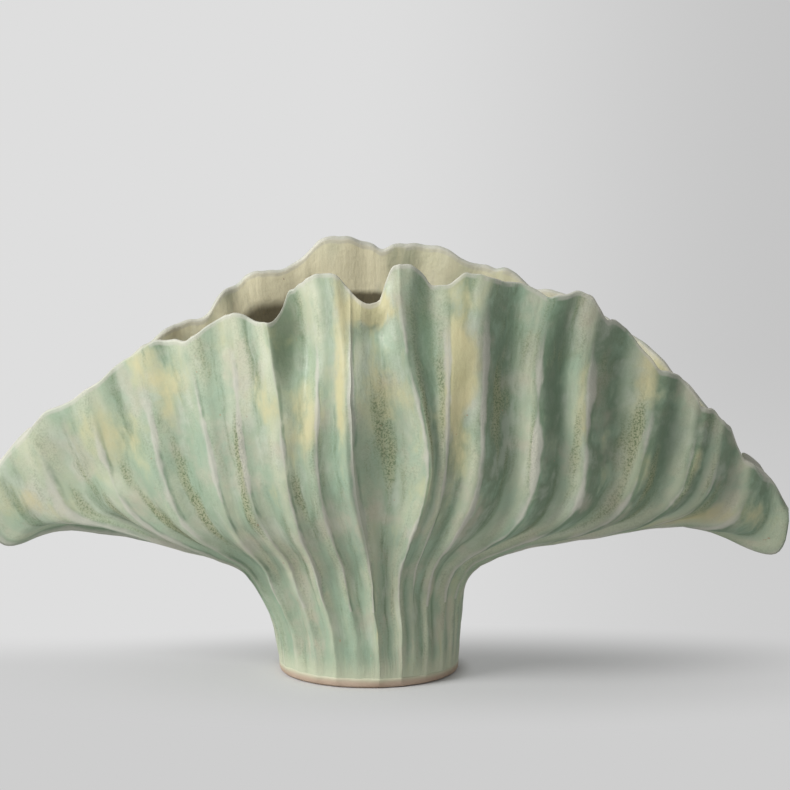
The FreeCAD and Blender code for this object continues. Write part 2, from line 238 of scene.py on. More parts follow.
def outward(index, after, level):
    """Direction away from the vase's hollow, at a rib or between two ribs."""
    first = ENVELOPE[(index - 1) % RIBS] if index == after else ENVELOPE[index]
    last = ENVELOPE[(index + 1) % RIBS] if index == after else ENVELOPE[after]
    low, high = max(level - 1, 0), min(level + 1, LEVELS - 1)
    up = (ENVELOPE[index][high] - ENVELOPE[index][low]) + (ENVELOPE[after][high] - ENVELOPE[after][low])
    if level <= NECK:
        up = Vector((0, 0, 1))
    return (last[level] - first[level]).cross(up).normalized()


# At each level: depth of a flute as a share of its width, thickness of the wall, share of the flutes seen inside.
DEPTH_SHARES = [STEM_RATIO + (FLUTE_RATIO - STEM_RATIO) * level / NECK for level in range(NECK + 1)]
DEPTH_SHARES += [FLUTE_RATIO] + [station.ratio for station in FAN]
WALLS = [STEM_WALL] * (NECK + 2) + [station.wall for station in FAN]
INNER_SHARES = [0.0] * (NECK + 2) + [station.inner for station in FAN]


def strength(rib, level):
    return rib.low + (rib.high - rib.low) * level / (LEVELS - 1)


def crest(index, level):
    span = (ENVELOPE[(index + 1) % RIBS][level] - ENVELOPE[(index - 1) % RIBS][level]).length
    inset = (1 - strength(RING[index], level)) * DEPTH_SHARES[level] * span / 2
    return ENVELOPE[index][level] - outward(index, index, level) * inset


def flute_depth(index, level):
    after = (index + 1) % RIBS
    width = (crest(after, level) - crest(index, level)).length
    weak = min(strength(RING[index], level), strength(RING[after], level))
    depth = DEPTH_SHARES[level] * width * (1 + weak) / 2
    if level >= NEAR_RIM:
        depth = min(depth, TIP_GROOVE * abs(crest(index, level).y + crest(after, level).y) / 2)
    return depth


def groove_lift(index, level):
    number = level - NECK - 2
    if number < 0:
        return 0.0
    after = (index + 1) % RIBS
    middle = (RING[index].share + RING[after].share) / 2
    rise = rim_arch(middle) + WAVES[index] - (ENVELOPE[index][-1].z + ENVELOPE[after][-1].z) / 2
    return WAVE_SHARES[number] * rise


def calm(index, level):
    """The folds of the back wall run out softer towards the rim, and all flutes towards the foot."""
    return (0.5 if on_back(index) and level >= NEAR_RIM else 1.0) * FULLNESS[level]


def dip(index, level):
    """From the chord between two crests to the bottom of the flute."""
    after = (index + 1) % RIBS
    inward = outward(index, after, level) * (flute_depth(index, level) * calm(index, level))
    return Vector((0, 0, groove_lift(index, level))) - inward


def inner_crest(index, level):
    rib = RING[index]
    if rib.side == 0:
        if level >= NEAR_RIM:
            before = inner_crest((index - 1) % RIBS, level)
            after = inner_crest((index + 1) % RIBS, level)
            return (before + after) / 2 + Vector((math.copysign(TIP_FOLD[0], rib.share), 0, TIP_FOLD[1]))
        return crest(index, level) - outward(index, index, level) * WALLS[level]
    softened = (1 - INNER_SHARES[level]) * flute_depth(index, level) * strength(rib, level)
    return crest(index, level) - outward(index, index, level) * (WALLS[level] + softened)


def inner_dip(index, level):
    after = (index + 1) % RIBS
    lift = Vector((0, 0, groove_lift(index, level)))
    if RING[index].side and RING[after].side:
        lift -= outward(index, after, level) * (flute_depth(index, level) * INNER_SHARES[level] * calm(index, level))
    return lift


OUTER_CRESTS, OUTER_DIPS, INNER_CRESTS, INNER_DIPS = (
    [[measure(index, level) for level in range(LEVELS)] for index in range(RIBS)]
    for measure in (crest, dip, inner_crest, inner_dip))


# ---------------------------------------------------------------- from the ribs to a smooth clay surface
def curve_weights(count, place):
    """Weights of the poles of a clamped cubic curve at a place from 0 to 1."""
    spans = count - 3
    knots = [0.0] * 4 + [float(number) for number in range(1, spans)] + [float(spans)] * 4
    value = min(place * spans, spans - 1e-9)
    weights = [1.0 if knots[number] <= value < knots[number + 1] else 0.0 for number in range(len(knots) - 1)]
    for degree in range(1, 4):
        raised = []
        for number in range(len(knots) - 1 - degree):
            left = knots[number + degree] - knots[number]
            right = knots[number + degree + 1] - knots[number + 1]
            total = (value - knots[number]) / left * weights[number] if left else 0.0
            total += (knots[number + degree + 1] - value) / right * weights[number + 1] if right else 0.0
            raised.append(total)
        weights = raised
    return weights


def hollow_at(index, share, level, softness):
    """Depth of a flute at a share of its width, 0 at the crests and 1 at its lowest line, which leans to the left
    on the left half and to the right on the right half. softness rounds the crests over."""
    shape = bpy.context.scene.vase_shape
    turned = 1.0 if index >= TURNED_FROM else TURNED_FLUTES.get(index, 0.0)
    lean = shape.flute_lean + (shape.right_lean - shape.flute_lean) * turned
    lean = 1 + (lean - 1) * LEANING[level]
    place = share ** (1 / shape.flute_lean if on_back(index) else lean)
    hollow = 1 - abs(2 * place - 1) ** shape.crease
    softness *= ROUNDER[level]
    hollow = (math.sqrt(hollow ** 2 + softness ** 2) - softness) / (math.sqrt(1 + softness ** 2) - softness)
    return hollow ** shape.notch_fullness if index == NOTCH_FLUTE else hollow


def pole_at(crests, dips, ring, level, softness):
    """Pole of the wall at a place on the ring, counted in flutes from the left tip."""
    index, share = int(ring) % RIBS, ring % 1
    edge = crests[index][level].lerp(crests[(index + 1) % RIBS][level], share)
    return edge + dips[index][level] * hollow_at(index, share, level, softness)


def across(crests, dips, index, share, levels, softness):
    """Poles of the column that runs up a flute at a share of its width."""
    poles = []
    for level in levels:
        ring = index + share
        pole = pole_at(crests, dips, ring, level, softness)
        to_tip = min(ring, abs(ring - TIP_RIGHT), RIBS - ring)
        evened = EVENED[level] * min(1.0, to_tip / 1.5)
        if evened > 0:
            before = pole_at(crests, dips, (ring - evened) % RIBS, level, softness)
            after = pole_at(crests, dips, (ring + evened) % RIBS, level, softness)
            pole = (before + pole + after) / 3
        poles.append(pole)
    return poles


def outer_poles(index, share, levels, shape):
    return across(OUTER_CRESTS, OUTER_DIPS, index, share, levels, shape.crest_softness)


def inner_poles(index, share, levels, shape):
    return across(INNER_CRESTS, INNER_DIPS, index, share, levels, shape.inner_softness)


def hand_wobble(point, amount):
    """Uneven clay: slow swells, finger marks and a fine skin, the same wherever two pieces meet."""
    shift = Vector((0, 0, 0))
    for scale, start, size in UNEVEN:
        shift += noise.noise_vector(point * scale + Vector(start)) * size
    return point + shift * amount * min(1.0, max(0.0, point.z / EVEN_FOOT))


WEIGHTS = {}


def curve_point(poles, step, steps):
    key = (len(poles), step, steps)
    if key not in WEIGHTS:
        WEIGHTS[key] = curve_weights(len(poles), step / steps)
    point = Vector((0, 0, 0))
    for pole, weight in zip(poles, WEIGHTS[key]):
        if weight:
            point += pole * weight
    return point


# Where the glaze crawled to cream, where olive grains gathered and where it pooled thick. ring: place round the vase,
# counted in flutes from the left tip; height above the table and reach along the flute in millimetres; wide: in
# flutes.
Mark = namedtuple("Mark", "ring height wide reach amount")
MARKS = {name: [Mark(*row) for row in rows] for name, rows in {
    "cream": (
        (7.7, 195, 0.22, 55, 0.75), (8.35, 186, 0.28, 36, 0.6), (6.7, 172, 0.55, 32, 1), (10.35, 195, 0.5, 48, 1.3),
        (3.4, 183, 0.6, 20, 0.8), (2.8, 152, 0.7, 20, 0.6), (1.8, 150, 0.5, 22, 0.55), (0.7, 106, 0.7, 16, 0.7),
        (8.8, 196, 0.25, 22, 0.6), (16.5, 97, 0.8, 9, 0.9), (13.85, 185, 0.22, 30, 0.8), (12.9, 170, 0.14, 40, 0.8),
        # The cream mark at the notch (8.4, 231) is cream glaze and also a painted highlight on the bead, whose top
        # faces the light.
        (8.4, 231, 0.42, 8, 2.6), (5.5, 178, 0.3, 18, 0.5), (15.2, 140, 0.25, 16, 0.5), (20.5, 170, 0.5, 30, 0.7),
        (23.6, 190, 0.5, 40, 0.8), (26.4, 200, 0.6, 35, 0.9), (29.3, 160, 0.6, 30, 0.7),
    ),
    "grains": (
        (1.2, 108, 0.1, 14, 1.2), (1.5, 128, 0.08, 12, 1.1), (1.7, 104, 0.1, 12, 1.2), (2.25, 126, 0.1, 12, 1.2),
        (2.38, 108, 0.1, 12, 1.4), (2.5, 96, 0.12, 8, 1.2), (3.3, 135, 0.09, 14, 1.2), (3.38, 112, 0.1, 14, 1.4),
        (3.35, 97, 0.12, 8, 1.2), (4.9, 140, 0.13, 26, 1.3), (4.75, 110, 0.12, 16, 1.1), (4.35, 200, 0.16, 20, 0.7),
        (6.25, 118, 0.12, 22, 1.1), (7.12, 140, 0.1, 30, 0.8), (8.4, 180, 0.13, 26, 0.9), (8.5, 138, 0.1, 30, 1),
        (9.2, 165, 0.12, 40, 1.2), (9.8, 180, 0.1, 30, 0.7), (11.35, 175, 0.16, 34, 1), (11.9, 160, 0.08, 30, 0.9),
        (12.82, 150, 0.09, 40, 1), (13.85, 148, 0.08, 32, 1.3), (14.3, 130, 0.12, 22, 0.8), (15.1, 120, 0.14, 22, 1.1),
        (15.85, 118, 0.09, 20, 0.9), (16.2, 112, 0.14, 14, 1), (20.7, 150, 0.12, 35, 1.1), (22.7, 165, 0.12, 35, 1.1),
        (25.7, 170, 0.12, 40, 1), (27.7, 160, 0.12, 40, 1.1), (29.7, 140, 0.12, 30, 1.1), (30.7, 120, 0.12, 20, 1.1),
    ),
    # Pools, partly thick glaze and partly painted shade in hollows that the light misses.
    "pool": (
        (6.18, 218, 0.24, 26, 1.6), (9.35, 222, 0.35, 30, 0.8), (9.5, 180, 0.3, 40, 0.5), (11.4, 205, 0.35, 60, 0.7),
        (12.28, 190, 0.35, 60, 1.2), (13.35, 165, 0.35, 50, 0.6), (14.4, 150, 0.4, 40, 1), (7.7, 185, 0.28, 45, 0.3),
        (25.55, 246, 0.4, 16, 0.8), (26.95, 240, 0.15, 20, 0.3), (28.4, 226, 0.35, 14, 0.8), (5.5, 218, 0.2, 20, 0.4),
        (3.35, 205, 0.25, 10, 0.7), (16.6, 118, 0.4, 14, 0.5), (17.5, 105, 0.4, 14, 0.5),
    ),
}.items()}
# Places near the rim that the maker's fingers pushed in (above 0) or pulled out, in millimetres.
DENTS = [Mark(*row) for row in (
    (6.6, 214, 0.36, 28, 12), (6.02, 212, 0.14, 26, -4.5), (8.25, 180, 0.4, 38, -8), (8.4, 230, 0.33, 5, -4),
    (8.4, 219, 0.35, 6, 4), (9.25, 214, 0.3, 24, 3), (11.25, 205, 0.35, 35, 3), (10.6, 225, 0.5, 18, -1.5),
    (10.3, 190, 0.35, 40, -2), (6.3, 212, 0.16, 26, 3), (4.4, 214, 0.5, 18, -1.2), (7.45, 236, 0.4, 12, -1.5),
    (12.35, 190, 0.35, 30, 2), (13.3, 165, 0.3, 26, 2), (16.4, 108, 0.5, 14, 2), (1.5, 150, 0.5, 16, -1.5),
    (25.5, 225, 0.5, 24, -1.5), (22.5, 190, 0.5, 24, 2), (28.4, 205, 0.5, 24, 2),
)]


def mark_amount(marks, ring, height):
    amount = 0.0
    for mark in marks:
        off = (abs(ring - mark.ring) / mark.wide) ** 2
        if off < 6:
            amount += mark.amount * math.exp(-off - ((height - mark.height) / mark.reach) ** 2)
    return amount


# Where the rim rises (above 0) or sinks between the arch and its waves: place on the ring, width, millimetres.
RIM_LIFTS = (
    (0.5, 0.35, 2.5), (1.15, 0.25, 4), (2, 0.2, 1.4), (2.42, 0.12, 0.4), (3.38, 0.12, 1.4), (3.98, 0.16, -2.2),
    (4.75, 0.4, 3), (5.68, 0.3, -5), (5.86, 0.1, -1.2), (6.06, 0.15, -5), (6.78, 0.18, 2), (6.38, 0.15, 8),
    (6.6, 0.2, 4), (7, 0.15, 0.9), (7.7, 0.25, 2.2), (8.38, 0.24, -3.4), (8.58, 0.09, -2), (8.82, 0.15, 6.8),
    (9.1, 0.28, 3.4), (9.3, 0.15, -1.8), (10.1, 0.15, -1.8), (10.42, 0.12, 1.4), (9.66, 0.08, -1.2),
    (9.75, 0.3, -6.2), (11.1, 0.3, 1.2), (11.5, 0.2, 2.5), (11.95, 0.12, -2), (12.6, 0.25, 4), (12.84, 0.1, 2.6),
    (13.15, 0.1, -4), (13.5, 0.2, 2), (14.05, 0.12, -2), (14.5, 0.2, 2), (15.05, 0.1, -2.5), (15.5, 0.2, 2),
    (16.3, 0.2, 1.5), (17.08, 0.24, 10), (17.2, 0.4, -3), (20.5, 0.15, -3.8), (21.5, 0.4, -2.4), (22.5, 0.15, 1.5),
    (23.35, 0.22, -5.8), (23.98, 0.14, -1.8), (24.45, 0.3, -4.8), (25.5, 0.35, -2.8), (25.89, 0.13, -4.2),
    (26.42, 0.12, 1.2), (26.65, 0.12, 1), (27.1, 0.2, -5.4), (27.45, 0.22, -7), (27.72, 0.12, -2),
    (28.2, 0.2, -2.6), (28.8, 0.25, -8.5), (29.7, 0.1, -2), (31, 0.15, -1),
)
# How far the lip leans out, in millimetres, and from what share of the fan's height. The notch's bead reaches
# NOTCH_WIDTH to either side of NOTCH_PLACE. The back wall leans out from RIGHT_BACK round to LEFT_BACK, less over
# BACK_FADE flutes at both ends.
NOTCH_BEAD = (4.0, 0.94)
NOTCH_PLACE = 8.4
NOTCH_WIDTH = 0.36
BACK_LEAN = (11.0, 0.78)
BACK_FADE = 3
FRONT_LEAN = (0.8, 0.9)
RIGHT_BACK, LEFT_BACK = 20.0, 31.0
RIM_FROM = 0.78  # the rim's ups and downs begin at this share of the fan's height
SOLE_ROUND = 0.95  # how far the flutes have run out where the foot meets the table
SOLE_INSET = 0.6  # from the crests to the oval that they run out to, in millimetres
LIP_THINNING = 1.12  # above 1 the lip gets thinner where it is bent out
LEAN_DROP = 0.35  # a lip sinks by this share of its lean
# A point of the wall and what it carries: 1 on a crest and 0 between two, which side of a crest it is on, 1 inside
# the vase, millimetres below the rim, its place on the ring and its place for the streaks of glaze.
Clay = namedtuple("Clay", "point crest lee inside depth ring flow")
WALL_VALUES = ("crest", "lee", "inside", "depth")


def rim_lift(ring):
    """Fine ups and downs of the rim, in millimetres."""
    lift = noise.noise(Vector((ring * 2.6, 4.2, 0.7))) * 0.8 + noise.noise(Vector((ring * 7.0, 1.3, 8.8))) * 0.3
    return lift + sum(amount * math.exp(-((ring - place) / width) ** 2) for place, width, amount in RIM_LIFTS)


def lip_lean(ring, place):
    """How far the wall near its rim is bent outward, in millimetres, at a share of its height."""
    at_back = min(1.0, max(0.0, (ring - RIGHT_BACK) / BACK_FADE)) * min(1.0, max(0.0, (LEFT_BACK - ring) / BACK_FADE))
    at_notch = math.exp(-((ring - NOTCH_PLACE) / NOTCH_WIDTH) ** 4)
    lean = 0.0
    for (amount, start), share in ((FRONT_LEAN, 1.0), (BACK_LEAN, at_back), (NOTCH_BEAD, at_notch)):
        lean += amount * share * max(0.0, (place - start) / (1 - start)) ** 1.3
    return lean


def worked(point, place, lean, ring, thinned=1.0):
    """Finger dents in the wall, the uneven rim, and the lip bent outward."""
    bent = lip_lean(ring, place)
    rise = rim_lift(ring) * max(0.0, (place - RIM_FROM) / (1 - RIM_FROM)) ** 1.5 - bent * LEAN_DROP
    return point + lean * (bent * thinned - mark_amount(DENTS, ring, point.z)) + Vector((0, 0, rise))


def clay_at(index, share, flow):
    """What the wall carries at a place across a flute; flow: where its streak of glaze is, in millimetres."""
    lee = math.sin(2 * math.pi * share) * (-1 if on_back(index) else 1)
    return Clay(None, abs(2 * share - 1), lee, 0.0, 0.0, index + share, flow * MM)


def streak_place(index, share, shape):
    return outer_poles(index, share, (FLOW_LEVEL,), shape)[0]


def wall_section(index, share, shape):
    """Closed section through the wall at one share of a flute: up the outside, over the lip and down the inside."""
    outer = outer_poles(index, share, FAN_LEVELS, shape)
    inner = inner_poles(index, share, FAN_LEVELS, shape)
    after = (index + 1) % RIBS
    lean = outward(index, index, LEVELS - 1).lerp(outward(after, after, LEVELS - 1), share).normalized()
    clay = clay_at(index, share, streak_place(index, share, shape))
    rows = shape.fan_rows
    outside = [worked(curve_point(outer, step, rows), step / rows, lean, clay.ring) for step in range(rows + 1)]
    top_out = outside[-1]
    top_in = worked(curve_point(inner, 1, 1), 1.0, lean, clay.ring, LIP_THINNING)
    section = [clay._replace(point=point, depth=(top_out - point).length) for point in outside]
    for step in range(1, LIP_STEPS):
        angle = math.pi * step / LIP_STEPS
        middle = (top_out + top_in) / 2 + (top_out - top_in) / 2 * math.cos(angle)
        point = middle + Vector((0, 0, shape.lip_height * math.sin(angle)))
        section.append(clay._replace(point=point, inside=step / LIP_STEPS))
    rows = shape.inner_rows
    for step in range(rows, -1, -1):
        point = worked(curve_point(inner, step, rows), step / rows, lean, clay.ring, LIP_THINNING)
        section.append(clay._replace(point=point, inside=1.0, depth=(top_in - point).length))
    return section


def flute_places(flutes, steps):
    """Each place across each of the flutes, closer together near the crests."""
    even = [step / steps for step in range(steps)]
    shares = [(share + 0.5 - 0.5 * math.cos(math.pi * share)) / 2 for share in even]
    return [(index, share) for index in flutes for share in shares]


def new_clay_mesh():
    noise.seed_set(CLAY_SEED)
    bm = bmesh.new()
    layers = {name: bm.verts.layers.float.new(name) for name in WALL_VALUES + tuple(MARKS)}
    layers["flow"] = bm.verts.layers.float_vector.new("flow")
    return bm, layers


def place_section(verts, section, layers, wobble):
    for vert, clay in zip(verts, section):
        vert.co = hand_wobble(clay.point, wobble) * MM
        for name in WALL_VALUES:
            vert[layers[name]] = getattr(clay, name)
        for name, marks in MARKS.items():
            vert[layers[name]] = mark_amount(marks, clay.ring, clay.point.z)
        vert[layers["flow"]] = Vector((clay.flow.x, clay.flow.y, vert.co.z))


def edges_round(verts):
    edges = []
    for vert, after in zip(verts, verts[1:] + verts[:1]):
        edges.append(next(edge for edge in vert.link_edges if edge.other_vert(vert) is after))
    return edges


def extrude_section(bm, verts):
    """Extrudes a closed section and gives its new points back in the same order."""
    made = bmesh.ops.extrude_edge_only(bm, edges=edges_round(verts))
    fresh = {element for element in made["geom"] if isinstance(element, bmesh.types.BMVert)}
    around = [[edge.other_vert(vert) for edge in vert.link_edges] for vert in verts]
    return [next(vert for vert in near if vert in fresh) for near in around]


def sweep(sections, shape, corners, closed):
    """Carries a closed wall section across the flutes; the ends are capped, or joined when the piece is a ring.
    corners: places in the section that stay sharp."""
    bm, layers = new_clay_mesh()
    verts = bmesh.ops.create_circle(bm, cap_ends=False, segments=len(sections[0]), radius=MM)["verts"]
    place_section(verts, sections[0], layers, shape.wobble)
    first = verts
    for section in sections[1:]:
        before = verts
        verts = extrude_section(bm, verts)
        place_section(verts, section, layers, shape.wobble)
        for old, new in [(before[corner], verts[corner]) for corner in corners]:
            next(edge for edge in new.link_edges if edge.other_vert(new) is old).smooth = False
    if closed:
        bmesh.ops.bridge_loops(bm, edges=edges_round(first) + edges_round(verts))
    else:
        for end in (first, verts):
            bmesh.ops.triangle_fill(bm, edges=edges_round(end), use_beauty=True)
            for edge in edges_round(end):
                edge.smooth = False
    bmesh.ops.recalc_face_normals(bm, faces=bm.faces)
    return bm


def new_object(bm, name, material):
    mesh = bpy.data.meshes.new(name)
    bm.to_mesh(mesh)
    bm.free()
    mesh.materials.append(material)
    thing = bpy.data.objects.new(name, mesh)
    bpy.context.scene.collection.objects.link(thing)
    return thing


def finish_piece(bm, name, node, material):
    for face in bm.faces:
        face.smooth = True
    piece = new_object(bm, name, material)
    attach(piece, "root")
    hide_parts(node)


def fan_piece(name, node, first, last):
    """Part of the fan from one rib round to another."""
    shape = bpy.context.scene.vase_shape
    flutes = [(first + number) % RIBS for number in range((last - first) % RIBS)]
    places = flute_places(flutes, shape.flute_steps) + [(flutes[-1], 1.0)]
    sections = [wall_section(index, share, shape) for index, share in places]
    finish_piece(sweep(sections, shape, (0, len(sections[0]) - 1), False), name, node, celadon_glaze())


# ---------------------------------------------------------------- glaze and clay
# Where the looks change, in metres: heights above the table, and places to the side of the vase's middle.
# The bare clay inside the mouth also stands in as painted shadow cast into it; these give its heights and reaches.
GLAZE_END_AND_SHADOW_INSIDE = (0.2305, 0.226)
BARE_AND_SHADOW_LOWER_LEFT = 0.003
BARE_AND_SHADOW_REACH = (0.115, 0.085)
CREAM_REACH = (0.23, 0.2)
TIPS_FROM = (0.19, 0.23)
SHADED_TO_THE_RIGHT = (-0.03, 0.09)
FAN_FROM = (0.055, 0.065)
THIN_AT_FOOT = (0.022, 0.004)
CLAY_EDGE = (0.0034, 0.0082)
# The same in millimetres below the rim: where its edge is worn, where crest lines fade, and where the glaze may end
# and the painted shadow inside may begin.
WORN_EDGE = (2.2, 0.6)
LINES_FADE = (10.0, 42.0)
NO_BARE_OR_SHADOW_ABOVE = (13.0, 22.0)


def colour(value):
    """Colour of a property, as light: the property holds it as a screen shows it."""
    return [part / 12.92 if part <= 0.04045 else ((part + 0.055) / 1.055) ** 2.4 for part in value[:3]] + [1.0]


class Nodes:
    """Short ways to fill a node tree. An input is a value or another node's output."""

    def __init__(self, tree):
        self.tree = tree
        tree.nodes.clear()

    def feed(self, value, socket):
        if isinstance(value, bpy.types.NodeSocket):
            self.tree.links.new(value, socket)
        else:
            socket.default_value = value

    def add(self, kind, inputs=None, **settings):
        node = self.tree.nodes.new(kind)
        for name, value in settings.items():
            setattr(node, name, value)
        for name, value in (inputs or {}).items():
            self.feed(value, node.inputs[name])
        return node

    def maths(self, operation, first, second=0.0):
        return self.add("ShaderNodeMath", {0: first, 1: second}, operation=operation).outputs[0]

    def times(self, *values):
        return functools.reduce(lambda product, value: self.maths("MULTIPLY", product, value), values)

    def plus(self, first, second):
        return self.maths("ADD", first, second)

    def minus(self, first, second):
        return self.maths("SUBTRACT", first, second)

    def ramp(self, value, low, high):
        """0 up to low, 1 from high on and a smooth rise between."""
        limits = {"Value": value, "From Min": low, "From Max": high}
        return self.add("ShaderNodeMapRange", limits, interpolation_type="SMOOTHSTEP").outputs[0]

    def vector(self, operation, first, second=(0.0, 0.0, 0.0)):
        return self.add("ShaderNodeVectorMath", {0: first, 1: second}, operation=operation).outputs[0]

    def length(self, vector):
        return self.add("ShaderNodeVectorMath", {0: vector}, operation="LENGTH").outputs["Value"]

    def noise(self, vector, scale, detail=2.0, roughness=0.5):
        grain = {"Vector": vector, "Scale": scale, "Detail": detail, "Roughness": roughness}
        return self.add("ShaderNodeTexNoise", grain, noise_dimensions="3D").outputs[0]

    def mixed(self, share, first, second):
        return self.add("ShaderNodeMix", {0: share, 6: first, 7: second}, data_type="RGBA").outputs[2]

    def coat(self, under, tint, *shares):
        """A tint over the colour under it, by the product of its shares."""
        return self.mixed(self.times(*shares), under, colour(tint))

    def either(self, share, first, second, output):
        """Puts out the first shader, or the second by a share."""
        shader = self.add("ShaderNodeMixShader", {0: share, 1: first.outputs[0], 2: second.outputs[0]})
        self.add(output, {0: shader.outputs[0]})

    def attribute(self, name, output="Fac"):
        return self.add("ShaderNodeAttribute", attribute_name=name).outputs[output]

    def group(self, tree, inputs):
        return self.add("ShaderNodeGroup", inputs, node_tree=tree).outputs


def new_group(name, inputs, outputs):
    """A node group, its nodes, what it is given and what it puts out. An input without a value is a vector."""
    tree = bpy.data.node_groups.new(name, "ShaderNodeTree")
    for socket_name, value in inputs.items():
        kind = "NodeSocketVector" if value is None else "NodeSocketFloat"
        socket = tree.interface.new_socket(socket_name, in_out="INPUT", socket_type=kind)
        if value is not None:
            socket.default_value = value
    for socket_name in outputs:
        tree.interface.new_socket(socket_name, in_out="OUTPUT", socket_type="NodeSocketFloat")
    nodes = Nodes(tree)
    return nodes, nodes.add("NodeGroupInput").outputs, nodes.add("NodeGroupOutput").inputs


def fired_grain_group():
    """Fine unevenness that fired clay and its glaze share: pits, specks of iron and a soft skin."""
    if "fired_grain" in bpy.data.node_groups:
        return bpy.data.node_groups["fired_grain"]
    nodes, given, out = new_group("fired_grain", {"Place": None, "Skin Scale": 260.0, "Speck Scale": 900.0},
                                  ("Skin", "Specks", "Grains", "Blotches"))
    place, speck_scale = given["Place"], given["Speck Scale"]
    nodes.feed(nodes.noise(place, given["Skin Scale"], 4.0, 0.6), out["Skin"])
    nodes.feed(nodes.ramp(nodes.noise(place, nodes.times(speck_scale, 0.25)), 0.75, 0.79), out["Specks"])
    nodes.feed(nodes.ramp(nodes.noise(place, speck_scale, 1.5, 0.6), 0.42, 0.66), out["Grains"])
    nodes.feed(nodes.noise(place, 38.0, 3.0, 0.55), out["Blotches"])
    return nodes.tree


def glaze_flow_group():
    """How glaze ran down the flutes while it was molten: streaks that follow the clay, wavering a little."""
    if "glaze_flow" in bpy.data.node_groups:
        return bpy.data.node_groups["glaze_flow"]
    nodes, given, out = new_group("glaze_flow", {"Flow": None, "Place": None, "Width": 160.0, "Length": 22.0,
                                                 "Waver": 0.004}, ("Streaks", "Mottle", "Broad"))
    waver = nodes.add("ShaderNodeTexNoise", {"Vector": given["Place"], "Scale": 45.0, "Detail": 2.0}).outputs["Color"]
    centred = nodes.vector("SUBTRACT", waver, (0.5, 0.5, 0.5))
    shifted = nodes.add("ShaderNodeVectorMath", {0: centred, "Scale": given["Waver"]}, operation="SCALE").outputs[0]
    stretch = nodes.add("ShaderNodeCombineXYZ", {0: given["Width"], 1: given["Width"], 2: given["Length"]}).outputs[0]
    stretched = nodes.vector("MULTIPLY", nodes.vector("ADD", given["Flow"], shifted), stretch)
    nodes.feed(nodes.noise(stretched, 1.0, 3.0, 0.6), out["Streaks"])
    for name, size, detail in (("Mottle", (0.55, 0.55, 1.7), 4.0), ("Broad", (0.2, 0.2, 0.75), 3.0)):
        nodes.feed(nodes.noise(nodes.vector("MULTIPLY", stretched, size), 1.0, detail, 0.6), out[name])
    return nodes.tree


def glaze_depth_group():
    """Where the glaze ran thin over the crests and where it pooled in the grooves."""
    if "glaze_depth" in bpy.data.node_groups:
        return bpy.data.node_groups["glaze_depth"]
    nodes, given, out = new_group("glaze_depth", {"Crest": 0.0, "Streaks": 0.5, "Blotches": 0.5}, ("Thin", "Pool"))
    uneven = nodes.times(nodes.minus(given["Streaks"], 0.5), 0.55)
    patchy = nodes.times(nodes.minus(given["Blotches"], 0.5), 0.5)
    level = nodes.plus(nodes.plus(given["Crest"], uneven), patchy)
    nodes.feed(nodes.ramp(level, 0.84, 1.0), out["Thin"])
    nodes.feed(nodes.ramp(level, 0.7, 0.0), out["Pool"])
    return nodes.tree


def surface_values(nodes):
    """What the glaze is worked out from: the place, what the wall carries with it, and the groups' values."""
    place = nodes.add("ShaderNodeTexCoord").outputs["Object"]
    at = nodes.add("ShaderNodeSeparateXYZ", {0: place}).outputs
    on = SimpleNamespace(x=at["X"], z=at["Z"], from_middle=nodes.maths("ABSOLUTE", at["X"]))
    for name in WALL_VALUES + tuple(MARKS):
        setattr(on, name, nodes.attribute(name))
    on.fired = nodes.group(fired_grain_group(), {"Place": place})
    on.flow = nodes.group(glaze_flow_group(), {"Flow": nodes.attribute("flow", "Vector"), "Place": place})
    on.thickness = nodes.group(glaze_depth_group(), {"Crest": on.crest, "Streaks": on.flow["Streaks"],
                                                     "Blotches": on.fired["Blotches"]})
    on.inner_wall = nodes.ramp(on.inside, 0.6, 0.95)
    on.streaky = nodes.minus(on.flow["Streaks"], 0.5)
    return on


def base_coats(nodes, on, look):
    """Celadon, pooled deeper in the grooves and along its runs, with painted shade on the lee sides of the right
    half's flutes, rosy areas and cold and milky runs.
    """
    body = nodes.mixed(nodes.ramp(on.flow["Broad"], 0.36, 0.62), colour(look.body), colour(look.body_pale))
    body = nodes.coat(body, look.pooled, on.thickness["Pool"], 0.75)
    # Painted shade: the deep tint on the lee sides of the right half's flutes stands in for the sides turned from the
    # light.
    body = nodes.coat(body, look.deep_glaze_and_shade, nodes.ramp(on.x, *SHADED_TO_THE_RIGHT), nodes.ramp(on.lee, -0.9, 0.4), 0.85)
    body = nodes.coat(body, look.rosy, nodes.ramp(on.fired["Blotches"], 0.5, 0.68), 0.45)
    body = nodes.coat(body, look.cold, nodes.ramp(on.flow["Mottle"], 0.46, 0.66), 0.6)
    body = nodes.coat(body, look.snow, nodes.ramp(on.flow["Mottle"], 0.5, 0.32), 0.4)
    runs = nodes.ramp(on.flow["Streaks"], 0.46, 0.74)
    body = nodes.coat(body, look.deep_glaze_and_shade, nodes.ramp(on.thickness["Pool"], 0.1, 0.8), runs, 0.7)
    return nodes.coat(body, look.speckle, on.fired["Grains"], nodes.ramp(on.flow["Streaks"], 0.35, 0.6), 0.16)


def inside_coats(nodes, on, look, body):
    """Cream glaze inside the mouth, made lighter as painted light falling into it, less cream to the right partly as
    painted shade, and green in the tips.
    """
    # Painted light and shade: the bright cream stands in for light falling into the mouth, and the lesser cream on the
    # right partly for shade.
    painted_shade_right = nodes.times(nodes.ramp(on.x, 0.01, 0.05), 0.3)
    body = nodes.coat(body, look.inner, on.inner_wall, nodes.ramp(on.flow["Broad"], 0.95, 0.5),
                      nodes.ramp(on.from_middle, *CREAM_REACH), nodes.minus(1.0, painted_shade_right))
    return nodes.coat(body, look.body, on.inner_wall, nodes.ramp(on.from_middle, *TIPS_FROM), 0.8)


